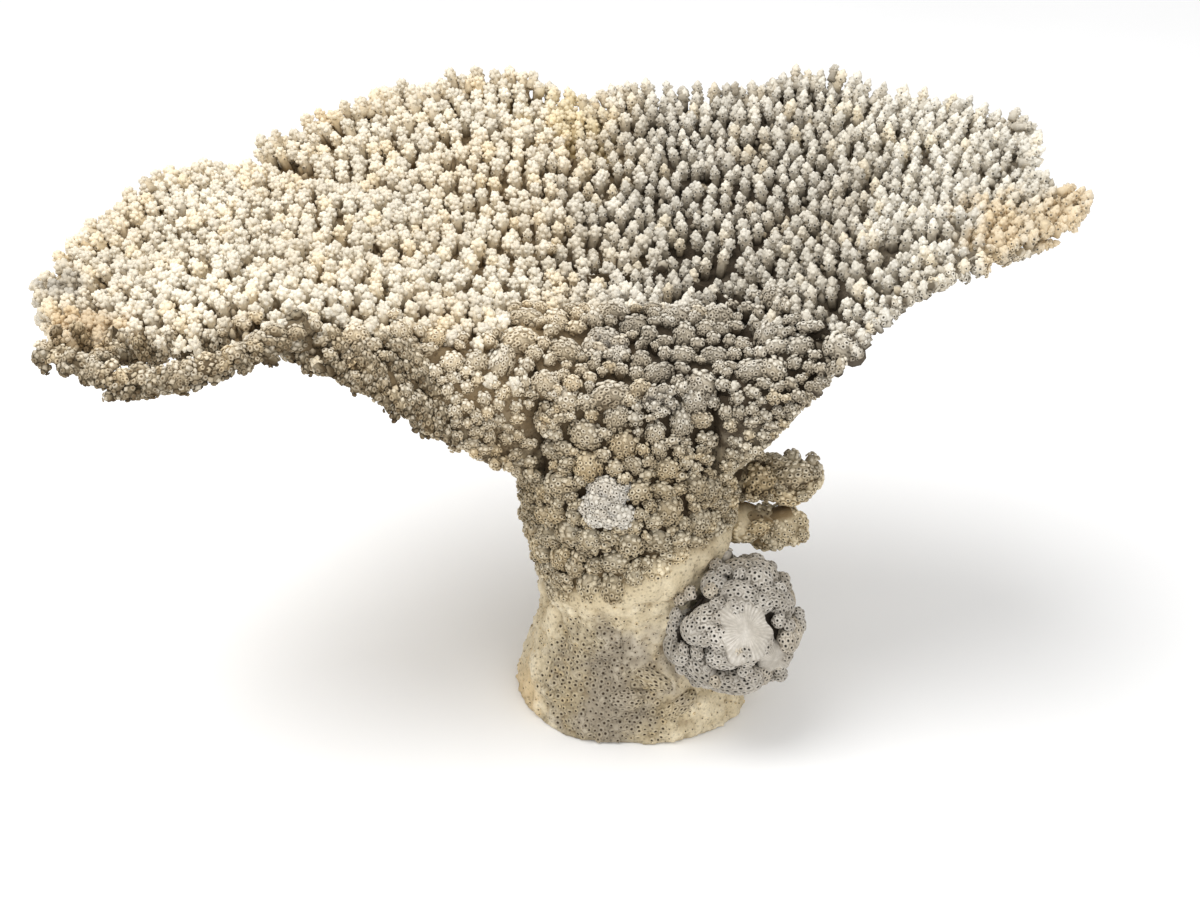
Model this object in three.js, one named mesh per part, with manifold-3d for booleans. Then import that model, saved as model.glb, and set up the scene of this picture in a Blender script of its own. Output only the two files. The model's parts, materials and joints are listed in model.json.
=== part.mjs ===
// Skeleton of a table-forming Acropora coral: a cut foot, a short stem and seven fronds that fan out into
// a lopsided table. Millimetres, +Z up, +X to the right of the open front, +Y to the back.
// The origin is the middle of the flat cut face under the foot.
// Every solid is the outer envelope of its branch: it reaches the tips of the small branchlets on it.
import * as THREE from "three";
import { mergeVertices } from "three/addons/utils/BufferGeometryUtils.js";
import Module from "manifold-3d";

const GAP = 0.3; // clearance between neighbouring branches
const DEG = Math.PI / 180;

// Stem and foot
const STEM_AXIS_X = -3; // the stem stands a little left of the foot's middle
const STEM_RADIUS = 44;
const STEM_TOP = 168;
const STEM_FRONT_LEAN = 15; // how far the open front slopes back at the top
const JOIN_HEIGHT = 66; // where the smooth foot gives way to the knobbly stem
const JOIN_SLOPE = 0.26; // that line climbs to the right
const WAIST_RADIUS = 33.5;
const FOOT_RADIUS_X = 47;
const FOOT_RADIUS_Y = 42;
const FOOT_AXIS_Y = 4;
const WAIST_HEIGHT = 48;
const WIDEN_FROM = 40; // the trunk widens again between these two heights, to just inside the stem's radius
const WIDEN_TO = 80;
const WIDEN_SHORT = 4;
const KNOB_SIZE = 1.2;
const LEAN_FROM = 100; // height where the front starts to slope back
const TRUNK_TURNS = 36; // facets round the trunk
const TRUNK_RINGS = 9; // facets up each of its two halves

// Table
const ATTACH_HEIGHT = 110; // where the fronds' undersides leave the stem
const CENTRE_HEIGHT = STEM_TOP;
const FRONT_DROP = 20; // how far the middle of the table slopes down to the open front
const FRONT_DROP_FROM = 8; // the slope runs between these two distances in front of the stem's axis
const FRONT_DROP_TO = 38;
const FRONT_LEFT_AZIMUTH = 222; // the open front lies between these two, round through 270
const FRONT_RIGHT_AZIMUTH = -45;
const SWEEP_POWER = 1.5; // how fast a frond's edge turns from its stem azimuth to its rim azimuth
const FLARE_POWER = 1.5;
const INNER_THICKNESS = 25; // slab and branchlets together, at the stem
const CREST_SHARE = 1.15; // a crest comes down just before the rim

// Each frond: its two azimuths at the stem, its crest (how far it bulges above a straight slope), how far out
// its underside keeps flaring, its thickness at the rim, and its rim as [azimuth, reach, tip height] from one
// edge to the other.
const FRONDS = [
  {
    name: "right_front_frond",
    stem: [FRONT_RIGHT_AZIMUTH, 2],
    crest: 12,
    flare: 58,
    edge: 10,
    rim: [[-1, 158, 206], [2, 165, 209], [6, 164, 210], [10, 154, 211]],
  },
  {
    name: "right_frond",
    stem: [2, 38],
    crest: 8,
    flare: 64,
    edge: 13,
    rim: [[10, 152, 211], [19, 166, 214], [28, 178, 218], [34, 170, 217]],
  },
  {
    name: "back_right_frond",
    stem: [38, 72],
    crest: 4,
    flare: 72,
    edge: 14,
    rim: [[34, 170, 217], [46, 160, 216], [58, 155, 219], [69, 146, 213]],
  },
  {
    name: "back_frond",
    stem: [72, 101],
    crest: 2,
    flare: 76,
    edge: 14,
    rim: [[69, 146, 213], [80, 142, 209], [90, 143, 209], [98, 136, 204]],
  },
  {
    name: "back_left_frond",
    stem: [101, 142],
    crest: 3,
    flare: 78,
    edge: 14,
    rim: [[98, 138, 206], [107, 147, 214], [119, 156, 215], [132, 167, 207], [146, 181, 197]],
  },
  {
    name: "left_frond",
    stem: [142, 182],
    crest: 9,
    flare: 92,
    edge: 14,
    rim: [[146, 170, 189], [154, 190, 196], [162, 199, 194], [170, 208, 188], [176, 212, 183]],
  },
  {
    name: "left_front_frond",
    stem: [182, FRONT_LEFT_AZIMUTH],
    crest: 19,
    flare: 100,
    edge: 14,
    rim: [[176, 212, 183], [181, 215, 178], [186, 206, 176], [191, 202, 176]],
  },
];
// Beside the open front the table's upper face rolls over, from this far in, down to a lip this thick.
// The width is given at the stem and further out; outwards is the way round from the edge into the table.
const OPEN_EDGES = [
  { stem: FRONT_RIGHT_AZIMUTH, rim: -1, outwards: 1, width: [16, 50] },
  { stem: FRONT_LEFT_AZIMUTH, rim: 191, outwards: -1, width: [12, 20] },
];
const LIP = 7;
const ROLL_STARTS = 0.25; // the roll is full from this share of the way to the rim
const ROLL_FADES = 0.65; // and is gone again at the rim from this share on
const ACROSS = 8; // grid cells across a frond
const ALONG = 9; // grid cells from stem to rim
const EDGE_SHARE = 0.001; // this near to its edge or rim, as a share, a grid point lies on it
const SLOPE_PASSES = 4; // passes that settle a trunk section against its sloping ends

// Small branches and growths
const GROWTH = { centre: [36, -28, 49], radii: [28, 25, 28] };
const GROWTH_SWELLS = [0.05, 0.04]; // how far its two waves of lumps swell, as shares of its radius
const GROWTH_TURNS = 22; // facets round it
const GROWTH_RINGS = 14; // facets from its top to its underside
const UPPER_SIDE_BRANCH = { from: [30, 2, 96.5], to: [61, 1, 96.5], radius: 9.8 };
const LOWER_SIDE_BRANCH = { from: [30, 1, 77], to: [57.5, -1, 77], radius: 9 };
const BRANCH_TURNS = 14; // facets round a side branch
const BRANCH_END_RINGS = 4; // facets from its side to the middle of its rounded end
// The ledge is a low branch in front of the left front frond: a long arm, its tip, and a link back to the
// frond, which leave a small hole between them.
const LEDGE_ARM = [
  [-112, -38, 177],
  [-128, -49, 174.5],
  [-146, -58, 170.5],
  [-163, -61, 167],
  [-180, -57, 166],
];
const LEDGE_TIP = [[-177, -58, 166], [-188, -52, 168], [-204, -45, 170]];
const LEDGE_LINK = [[-186, -54, 167], [-184, -44, 168], [-178, -34, 171]];
const LEDGE_PARTS = [
  { path: LEDGE_ARM, radius: 6 },
  { path: LEDGE_TIP, radius: 5 },
  { path: LEDGE_LINK, radius: 5 },
];
const LEDGE_NEIGHBOUR = "left_front_frond";
const ARM_STEPS = 10; // sections along each part of the ledge
const ARM_SEGMENTS = 5; // how finely its round section is cut

const clamp01 = (t) => Math.min(1, Math.max(0, t));
const mix = THREE.MathUtils.lerp;
const ease = (from, to, value) => THREE.MathUtils.smoothstep(value, from, to);

// The geometry with each vertex moved by place(x, y, z), which returns the new [x, y, z].
function moved(geometry, place) {
  const made = geometry.clone();
  const p = made.getAttribute("position");
  for (let i = 0; i < p.count; i++) p.setXYZ(i, ...place(p.getX(i), p.getY(i), p.getZ(i)));
  return made;
}

// A knobbly swing in radius, the same at 0 and 360 degrees.
function knobs(azimuth, height, size) {
  return size * (Math.sin(5 * azimuth + height / 9) + Math.sin(8 * azimuth - height / 6)) / 2;
}

// Foot and stem: round sections whose radius changes with azimuth (radians) and height.
function footRadius(azimuth, height) {
  const flat = Math.hypot(FOOT_RADIUS_X * Math.cos(azimuth), FOOT_RADIUS_Y * Math.sin(azimuth));
  const narrowed = mix(flat, WAIST_RADIUS, ease(0, WAIST_HEIGHT, height));
  const widened = ease(WIDEN_FROM, WIDEN_TO, height) * (STEM_RADIUS - WIDEN_SHORT - WAIST_RADIUS);
  return narrowed + widened + knobs(azimuth, height, KNOB_SIZE);
}

// Up to where the fronds leave it, the stem grows to its full round; its open front slopes back above that.
function stemRadius(azimuth, height) {
  const settled = ease(JOIN_HEIGHT, ATTACH_HEIGHT - WIDEN_SHORT, height);
  const openFront = ease(-Math.sin(FRONT_RIGHT_AZIMUTH * DEG), 1, -Math.sin(azimuth));
  const lean = STEM_FRONT_LEAN * openFront * ease(LEAN_FROM, STEM_TOP, height);
  return mix(footRadius(azimuth, height), STEM_RADIUS, settled) - lean;
}

const axisX = (height) => STEM_AXIS_X * ease(0, JOIN_HEIGHT, height);
const axisY = (height) => FOOT_AXIS_Y * (1 - ease(0, JOIN_HEIGHT, height));
const joinAt = (x) => JOIN_HEIGHT + JOIN_SLOPE * x;
const frontDrop = (y) => FRONT_DROP * ease(FRONT_DROP_FROM, FRONT_DROP_TO, -y);

// A closed column of round sections between two surfaces bottom(x, y) and top(x, y), grown by extra.
function column(bottom, top, radius, extra = 0) {
  const plain = new THREE.CylinderGeometry(1, 1, 1, TRUNK_TURNS, TRUNK_RINGS);
  return moved(plain, (x, y, z) => {
    const azimuth = Math.atan2(z, x);
    const reach = Math.hypot(x, z);
    const share = y + 0.5;
    let height = mix(bottom(0, 0), top(0, 0), share);
    let px = 0;
    let py = 0;
    // The ends may slope, so height and place depend on each other: a few passes settle both.
    for (let pass = 0; pass < SLOPE_PASSES; pass++) {
      const r = (radius(azimuth, height) + extra) * reach;
      px = axisX(height) + r * Math.cos(azimuth);
      py = axisY(height) + r * Math.sin(azimuth);
      height = mix(bottom(px, py), top(px, py), share);
    }
    return [px, py, height];
  });
}

// CylinderGeometry stands along Y with Z towards the viewer, so using Z as Y turns its faces inside out.
function flipped(geometry) {
  const made = geometry.index ? geometry.toNonIndexed() : geometry.clone();
  const p = made.getAttribute("position").array;
  for (let i = 0; i < p.length; i += 9)
    for (let k = 0; k < 3; k++) [p[i + 3 + k], p[i + 6 + k]] = [p[i + 6 + k], p[i + 3 + k]];
  return made;
}

// Where a frond's grid line runs: s from 0 to 1 across it, t from 0 at the stem to 1 at the rim.
function frondPlace(frond, s, t) {
  const rimPoints = frond.rim.map((p) => new THREE.Vector3(...p));
  const rimCurve = new THREE.CatmullRomCurve3(rimPoints, false, "centripetal");
  const rim = rimCurve.getPoint(s);
  const stemAzimuth = mix(frond.stem[0], frond.stem[1], s);
  const azimuth = sweptAzimuth(stemAzimuth, rim.x, t);
  const reach = mix(STEM_RADIUS + GAP, rim.y, t);
  return { azimuth, reach, rimHeight: rim.z };
}

function frondTop(frond, rimHeight, t, y) {
  const crest = frond.crest * Math.sin(Math.PI * Math.min(1, t * CREST_SHARE));
  return mix(CENTRE_HEIGHT, rimHeight, t) + crest - frontDrop(y) * (1 - t) ** 3;
}

const sweptAzimuth = (stem, rim, t) => (rim + (stem - rim) * (1 - t) ** SWEEP_POWER) * DEG;

// How far the upper face is rolled down at a place, where the table would otherwise be this thick.
function edgeRoll(azimuth, t, reach, thickness) {
  const depth = (thickness - LIP) * ease(0, ROLL_STARTS, t) * (1 - ease(ROLL_FADES, 1, t));
  let roll = 0;
  for (const { stem, rim, outwards, width } of OPEN_EDGES) {
    const inwards = outwards * (azimuth - sweptAzimuth(stem, rim, t)) * reach;
    const wide = mix(width[0], width[1], ease(0, ROLL_STARTS, t));
    roll += depth * (1 - clamp01(inwards / wide)) ** 2;
  }
  return roll;
}

function frondUnder(frond, rimHeight, t, reach) {
  const outer = frondTop(frond, rimHeight, t, 0) - mix(INNER_THICKNESS, frond.edge, t);
  const flare = 1 - (1 - clamp01((reach - STEM_RADIUS) / frond.flare)) ** FLARE_POWER;
  return mix(ATTACH_HEIGHT, outer, flare);
}

// A frond's solid. Its two edges are pulled in by edgeGap, and its other faces are pushed out by grown.
function frondGeometry(frond, edgeGap = GAP, grown = 0) {
  const plain = new THREE.BoxGeometry(1, 1, 1, ACROSS, ALONG, 1);
  return moved(plain, (x, y, z) => {
    const s = 0.5 - x;
    const t = y + 0.5;
    const { azimuth, reach, rimHeight } = frondPlace(frond, s, t);
    const pull = s < EDGE_SHARE ? edgeGap : s > 1 - EDGE_SHARE ? -edgeGap : 0;
    const outwards = reach + (t > 1 - EDGE_SHARE ? grown : 0);
    const px = STEM_AXIS_X + outwards * Math.cos(azimuth) - pull * Math.sin(azimuth);
    const py = outwards * Math.sin(azimuth) + pull * Math.cos(azimuth);
    const under = frondUnder(frond, rimHeight, t, reach);
    const top = frondTop(frond, rimHeight, t, py);
    if (z < 0) return [px, py, under - grown];
    return [px, py, top - edgeRoll(azimuth, t, reach, top - under) + grown];
  });
}

// A rounded finger from one point to another, with a swelling tip.
function finger({ from, to, radius }) {
  const a = new THREE.Vector3(...from);
  const b = new THREE.Vector3(...to);
  const capsule = new THREE.CapsuleGeometry(radius, a.distanceTo(b), BRANCH_END_RINGS, BRANCH_TURNS);
  const along = b.clone().sub(a).normalize();
  const turn = new THREE.Quaternion().setFromUnitVectors(new THREE.Vector3(0, 1, 0), along);
  return capsule.applyQuaternion(turn).translate(...a.add(b).multiplyScalar(0.5).toArray());
}

// A bent bar along a smooth path, with blunt ends.
function arm({ path, radius }) {
  const curve = new THREE.CatmullRomCurve3(path.map((p) => new THREE.Vector3(...p)));
  const section = new THREE.Shape().absarc(0, 0, radius, 0, 2 * Math.PI);
  return new THREE.ExtrudeGeometry(section, {
    extrudePath: curve,
    steps: ARM_STEPS,
    curveSegments: ARM_SEGMENTS,
  });
}

// A ball with shallow lumps all over it.
function growthGeometry() {
  const [cx, cy, cz] = GROWTH.centre;
  const [rx, ry, rz] = GROWTH.radii;
  const [first, second] = GROWTH_SWELLS;
  const ball = new THREE.SphereGeometry(1, GROWTH_TURNS, GROWTH_RINGS);
  return moved(ball, (x, y, z) => {
    const swell = 1 + first * Math.sin(6 * x + 1) * Math.cos(7 * y) + second * Math.sin(9 * z + 2 * x);
    return [cx + rx * x * swell, cy + ry * y * swell, cz + rz * z * swell];
  });
}

const wasm = await Module();
wasm.setup();

function solidOf(geometry) {
  const bare = new THREE.BufferGeometry().setAttribute("position", geometry.getAttribute("position"));
  bare.setIndex(geometry.index);
  const merged = mergeVertices(bare, 1e-3);
  return new wasm.Manifold(
    new wasm.Mesh({
      numProp: 3,
      vertProperties: merged.getAttribute("position").array,
      triVerts: new Uint32Array(merged.index.array),
    }),
  );
}

function geometryOf(solid) {
  const mesh = solid.getMesh();
  const made = new THREE.BufferGeometry();
  made.setAttribute("position", new THREE.BufferAttribute(mesh.vertProperties, 3));
  return made.setIndex(new THREE.BufferAttribute(mesh.triVerts, 1));
}

// The largest connected piece of a solid, so that a cut leaves no crumbs.
function mainPiece(solid) {
  return solid.decompose().sort((a, b) => b.volume() - a.volume())[0];
}

const TINTS = {
  cream: { color: 0xe9e0cf, roughness: 0.9, metalness: 0 },
  grey: { color: 0xcfc8bd, roughness: 0.9, metalness: 0 },
  tan: { color: 0xc9b994, roughness: 0.92, metalness: 0 },
  pale: { color: 0xc9c6c2, roughness: 0.9, metalness: 0 },
};

const coral = new THREE.Group();

function add(name, geometry, tint) {
  geometry.computeVertexNormals();
  const mesh = new THREE.Mesh(geometry, new THREE.MeshStandardMaterial(TINTS[tint]));
  mesh.name = name;
  coral.add(mesh);
}

const floor = () => 0;
const joinBelow = (x) => joinAt(x) - GAP / 2;
const joinAbove = (x) => joinAt(x) + GAP / 2;
const stemTop = (x, y) => STEM_TOP - frontDrop(y);

add("foot", flipped(column(floor, joinBelow, footRadius)), "tan");
add("stem", flipped(column(joinAbove, stemTop, stemRadius)), "tan");

// Whatever grows from the trunk is cut back to clear it.
const footClear = solidOf(flipped(column(floor, joinAt, footRadius, GAP)));
const stemClear = solidOf(flipped(column(joinBelow, stemTop, stemRadius, GAP)));
const trunkClear = footClear.add(stemClear);
const clearOfTrunk = (geometry) => mainPiece(solidOf(geometry).subtract(trunkClear));

add("rounded_growth", geometryOf(clearOfTrunk(growthGeometry())), "pale");
add("upper_side_branch", geometryOf(clearOfTrunk(finger(UPPER_SIDE_BRANCH))), "tan");
add("lower_side_branch", geometryOf(clearOfTrunk(finger(LOWER_SIDE_BRANCH))), "tan");

for (const frond of FRONDS) {
  const tint = frond.name.includes("left") ? "cream" : "grey";
  add(frond.name, frondGeometry(frond), tint);
}

const neighbour = FRONDS.find((frond) => frond.name === LEDGE_NEIGHBOUR);
const ledgeParts = LEDGE_PARTS.map((one) => solidOf(arm(one))).reduce((all, one) => all.add(one));
const ledge = ledgeParts.subtract(solidOf(frondGeometry(neighbour, -GAP, GAP)));
add("left_ledge_branch", geometryOf(mainPiece(ledge)), "cream");

export default coral;
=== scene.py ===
"""The looks of a dried table-form coral skeleton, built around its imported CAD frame.

Each CAD solid is the outer envelope of one branch. Every branch is rebuilt here as one mesh piece: a body of
solid skeleton inside the envelope, and on it the branchlets, knobs, ribs and single cups that reach the
envelope. Lengths are in millimetres until a mesh is made.
"""
import json
import math

import bpy
import numpy as np
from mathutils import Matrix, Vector
from mathutils.bvhtree import BVHTree


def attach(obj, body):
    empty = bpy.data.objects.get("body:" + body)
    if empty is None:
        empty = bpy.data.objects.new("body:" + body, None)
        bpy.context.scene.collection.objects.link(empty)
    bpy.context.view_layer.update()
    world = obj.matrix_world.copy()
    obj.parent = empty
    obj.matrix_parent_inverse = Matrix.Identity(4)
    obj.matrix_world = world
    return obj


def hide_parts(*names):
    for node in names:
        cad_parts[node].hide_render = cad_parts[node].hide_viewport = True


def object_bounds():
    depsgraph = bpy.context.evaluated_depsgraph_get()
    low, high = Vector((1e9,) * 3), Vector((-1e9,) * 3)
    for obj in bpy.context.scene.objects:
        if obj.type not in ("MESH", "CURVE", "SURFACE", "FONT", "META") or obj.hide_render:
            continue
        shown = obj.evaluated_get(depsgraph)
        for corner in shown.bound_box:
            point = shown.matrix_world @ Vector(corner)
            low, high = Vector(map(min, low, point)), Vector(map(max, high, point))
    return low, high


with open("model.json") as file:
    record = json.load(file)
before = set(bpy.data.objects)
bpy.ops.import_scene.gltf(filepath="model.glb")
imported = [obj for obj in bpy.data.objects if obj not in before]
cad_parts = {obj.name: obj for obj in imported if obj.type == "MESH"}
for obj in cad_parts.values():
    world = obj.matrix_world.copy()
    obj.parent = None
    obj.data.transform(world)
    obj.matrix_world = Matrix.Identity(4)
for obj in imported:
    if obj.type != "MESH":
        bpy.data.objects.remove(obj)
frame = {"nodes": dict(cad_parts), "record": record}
cad_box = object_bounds()

MM = 0.001
SEED = 2106
FRONDS = [
    "right_front_frond", "right_frond", "back_right_frond", "back_frond", "back_left_frond", "left_frond",
    "left_front_frond",
]
LEFT_LIP = FRONDS[-1]
LEDGE = "left_ledge_branch"
SIDE_BRANCHES = ["upper_side_branch", "lower_side_branch"]
COVERED = FRONDS + ["stem", LEDGE] + SIDE_BRANCHES


# ---------------- small maths

UP = np.array([0, 0, 1.0])


def unit(vectors):
    vectors = np.asarray(vectors, float)
    return vectors / np.maximum(np.linalg.norm(vectors, axis=-1, keepdims=True), 1e-9)


def mix(a, b, t):
    return a + (b - a) * t


def ease(low, high, value):
    t = np.clip((np.asarray(value, float) - low) / (high - low), 0, 1)
    return t * t * (3 - 2 * t)


def hashed(cells, seed):
    """A repeatable value from 0 to 1 for each whole-numbered 3-D cell: its numbers mixed by large primes."""
    x, y, z = np.moveaxis(cells.astype(np.int64), -1, 0)
    mixed = x * 374761393 + y * 668265263 + z * 2147483647 + seed * 144665
    mixed = (mixed ^ (mixed >> 13)) * 1274126177
    return ((mixed ^ (mixed >> 16)) & 0xFFFF) / 65535.0


def noise(points, size, seed=0):
    """Smooth noise from -1 to 1 whose lumps are about size wide. size may be one number or three."""
    scaled = np.asarray(points, float) / np.asarray(size, float)
    cell = np.floor(scaled)
    share = ease(0, 1, scaled - cell)
    total = 0
    for corner in np.ndindex(2, 2, 2):
        weight = np.prod(np.where(corner, share, 1 - share), axis=-1)
        total = total + weight * hashed(cell + corner, seed)
    return total * 2 - 1


def turned(axis, spin):
    """The 3 x 3 matrix that turns +Z to axis and +X as far up as it goes, after a spin about the axis."""
    z = unit(axis)
    up = UP if abs(z[2]) < 0.95 else np.array([0, 1.0, 0])
    x = unit(up - z * (z @ up))
    y = np.cross(z, x)
    c, s = math.cos(spin), math.sin(spin)
    return np.stack([x * c + y * s, y * c - x * s, z], axis=1)


# ---------------- shapes

VALUES = ("height", "pore", "tone", "bare", "pale", "shade")
HEIGHT, PORE, TONE, BARE, PALE, GREY_AND_SHADE = range(len(VALUES))
MIDDLE_TONE = 0.5


class Shape:
    """Points, triangles and, for each point, the VALUES that colour it: height (0 root, 1 tip; low values
    take the gap colour, partly painted shadow, and on knobs and boulders it is higher on the side that
    looks up, partly painted light from above), pore (1 in a cup, painted dark as the shadow in its hole),
    tone (differs from branchlet to branchlet), bare (1 where no cups stand), pale (1 on pale lumps) and,
    last, the grey and shading value (1 where growth is greyer and darker: partly its own grey colour,
    partly painted shading)."""

    def __init__(self, points, faces, values):
        self.points = np.array(points, float).reshape(-1, 3)
        self.faces = np.array(faces, int).reshape(-1, 3)
        self.values = np.array(values, float).reshape(-1, len(VALUES))

    def placed(self, origin, axis=(0, 0, 1), spin=0.0, scale=1.0):
        moved = (self.points * scale) @ turned(axis, spin).T + np.asarray(origin, float)
        return Shape(moved, self.faces, self.values)

    def lifted(self, least):
        """The same shape with no height value under this one."""
        values = self.values.copy()
        values[:, HEIGHT] = np.maximum(values[:, HEIGHT], least)
        return Shape(self.points, self.faces, values)

    def tinted(self, tone, pale=0.0, shade=0.0):
        values = self.values.copy()
        values[:, TONE] = tone
        values[:, PALE] = pale
        values[:, GREY_AND_SHADE] = shade
        return Shape(self.points, self.faces, values)


def body_of(points, triangles, height, bare=1.0, shade=0.0):
    """A shape from points and triangles; height, bare and shade are each one value, or one for each point."""
    values = np.zeros((len(points), len(VALUES)))
    values[:, HEIGHT] = height
    values[:, TONE] = MIDDLE_TONE
    values[:, BARE] = bare
    values[:, GREY_AND_SHADE] = shade
    return Shape(points, triangles, values)


def joined(shapes):
    """One shape from many."""
    starts = np.cumsum([0] + [len(s.points) for s in shapes])
    return Shape(
        np.concatenate([s.points for s in shapes]),
        np.concatenate([s.faces + start for s, start in zip(shapes, starts)]),
        np.concatenate([s.values for s in shapes]),
    )


def lathe(rings, sides):
    """A closed solid of revolution about +Z. Each ring is (radius, z, height value, pore value), from root to
    tip; the last ring is a point."""
    bands = len(rings) - 1
    ring_of = np.append(np.repeat(np.arange(bands), sides), bands)
    radius, z, height, pore = np.array(rings, float)[ring_of].T
    angle = np.append(np.tile(np.arange(sides), bands), 0) * (2 * math.pi / sides)
    values = np.zeros((len(z), len(VALUES)))
    values[:, HEIGHT] = height
    values[:, PORE] = pore
    values[:, TONE] = MIDDLE_TONE
    here = np.arange(sides)
    after = (here + 1) % sides
    faces = [np.column_stack([np.zeros(sides - 2, int), here[2:], here[1:-1]])]
    for low in range(0, (bands - 1) * sides, sides):
        high = low + sides
        faces.append(np.column_stack([low + here, low + after, high + after]))
        faces.append(np.column_stack([low + here, high + after, high + here]))
    top = (bands - 1) * sides
    faces.append(np.column_stack([top + here, top + after, np.full(sides, top + sides)]))
    points = np.column_stack([np.cos(angle) * radius, np.sin(angle) * radius, z])
    return Shape(points, np.concatenate(faces), values)


# Buds, cups and craters are paler at their tips and rims than at their roots, partly painted light, and their
# pores are painted shadow.
def nub(radius, length, height, sides=4):
    """A blunt closed bud, whose root sits at z = 0."""
    root = (radius * 0.85, -0.25 * length, height, 0)
    belly = (radius, 0.5 * length, height + 0.15, 0)
    return lathe([root, belly, (0, length, height + 0.25, 0)], sides)


def cup(radius, length, height, sides=5):
    """A short tube whose mouth sinks to a dark pore: one corallite."""
    root = (radius * 1.2, -0.5 * length, height, 0)
    lip = (radius * 0.82, length, height + 0.16, 0)
    return lathe([root, lip, (0, 0.2 * length, height, 1)], sides)


def crater(radius, sides=5):
    """A low ring round a pore, for a smooth surface."""
    return lathe([(radius * 1.5, -0.35, 0.5, 0), (radius * 0.9, 0.42, 0.65, 0), (0, 0.08, 0.4, 1)], sides)


GOLDEN_ANGLE = math.pi * (3 - math.sqrt(5))


def dome_directions(count, covered, rng):
    """Evenly spread directions over the top of a ball; covered is how far down they go, in radii."""
    z = 1 - (np.arange(count) + 0.5) / count * covered
    turn = np.arange(count) * GOLDEN_ANGLE + rng.uniform(-0.3, 0.3, count)
    flat = np.sqrt(np.maximum(0, 1 - z * z))
    return np.stack([np.cos(turn) * flat, np.sin(turn) * flat, z], 1)


# ---------------- branchlets, knobs and lumps
# Each has its tip near z = 0 and its root below, so that it is placed by its tip.

STALK = 14.0  # a branchlet's full length, from tip to buried root
CROWN = 6.5  # the part of it that keeps its shape when the stalk is shortened
RIM_BRANCHLET = 8.5  # length of the branchlets along the table's rim
VARIANTS = 18  # ready-made branchlets of each style
FULL_TURN = 2 * math.pi
# Each whorl of buds: distance below the tip, how many, tilt up in degrees, radius, and whether they are open
SQUAT = {
    "stalk": 2.2,
    "crown": 2.3,
    "tip": 1.2,
    "whorls": [(1.1, 4, 62, 1.15, False), (2.5, 5, 34, 1.15, False), (4.7, 3, 18, 0.95, True)],
}
SLIM = {
    "stalk": 1.9,
    "crown": 1.75,
    "tip": 1.1,
    "whorls": [(1.5, 3, 58, 0.95, False), (3.1, 5, 40, 0.95, True), (5.2, 4, 34, 0.95, True)],
}


def branchlet(style, rng):
    """A stalk that swells to a crown, with whorls of buds and cups round it."""
    swell = rng.uniform(0.88, 1.14)
    stalk, crown = style["stalk"] * swell, style["crown"] * swell
    # Height values fall from the crown to the buried root: the darker gap colour low down is partly painted
    # shadow between the branchlets.
    upper = [(crown, -4.3, 0.62, 0), (crown * 0.75, -1.5, 0.85, 0), (0, -0.7, 0.9, 0)]
    parts = [lathe([(stalk * 1.15, -STALK, 0, 0), (stalk, -7.5, 0.3, 0), *upper], 5)]
    parts.append(nub(style["tip"], 2.0, 0.75).placed([0, 0, -2.0]))
    for below, count, tilt, radius, is_open in style["whorls"]:
        start = rng.uniform(0, FULL_TURN)
        for k in range(count):
            turn = start + (k + rng.uniform(-0.25, 0.25)) * 2 * math.pi / count
            outward = np.array([math.cos(turn), math.sin(turn), 0])
            rise = math.radians(tilt + rng.uniform(-12, 12))
            axis = outward * math.cos(rise) + UP * math.sin(rise)
            reach = crown * (0.5 if tilt > 50 else 0.72)
            root = outward * reach + UP * (-below - 1.3 + rng.uniform(-0.4, 0.4))
            size = radius * rng.uniform(0.85, 1.15)
            height = 1 - below / STALK - 0.25
            bud = cup(size * 0.9, 1.4 * size, height) if is_open else nub(size, 1.6 * size, height)
            parts.append(bud.placed(root, axis, rng.uniform(0, 6.3)))
    return joined(parts)


def shortened(shape, length, size):
    """A branchlet whose stalk is shortened, so that at this size it is this long."""
    points = shape.points.copy()
    squeeze = max(0.05, (length / size - CROWN) / (STALK - CROWN))
    below = points[:, 2] < -CROWN
    points[below, 2] = (points[below, 2] + CROWN) * squeeze - CROWN
    return Shape(points, shape.faces, shape.values)


KNOB_RADII = [2.2, 2.9, 3.7, 4.6, 5.8]  # rounded knobs come in mixed sizes
KNOB_DEPTH = 6.8  # how deep a knob's neck reaches
THIN_DEPTH = 3.8  # and how deep on the ledge and under the table, where it must not come out again
UNCUT = 100.0  # deeper than any growth reaches
PINCH = 0.3  # a growth's width below the depth where it is pinched off
CUP_SPACING = 2.15
CUP_SIZE = 0.86
KNOB_COVER = 1.0  # cups cover a knob this far down from its top, in radii
BOULDER_COVER = 1.1
CRATER_SPACING = 2.2
SMALL_KNOB = 3.0  # knobs under this radius have fewer sides
RIB_STEP = 1.9  # half the distance between the two knobs of a rib
SWELLINGS = (3.0, 4.0, 5.2, 6.6)  # radii of the ready-made boulders


def upness(directions):
    """How far up each direction on a knob looks once it is set on a wall or a slope, up to about 0.9."""
    return 0.75 * directions[..., 0] + 0.5 * directions[..., 2]


def cup_count(radius, cover, spacing):
    """How many cups, this far apart, cover the top of a ball down to this share of its radius."""
    return int(2 * math.pi * radius**2 * cover / spacing**2)


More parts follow.
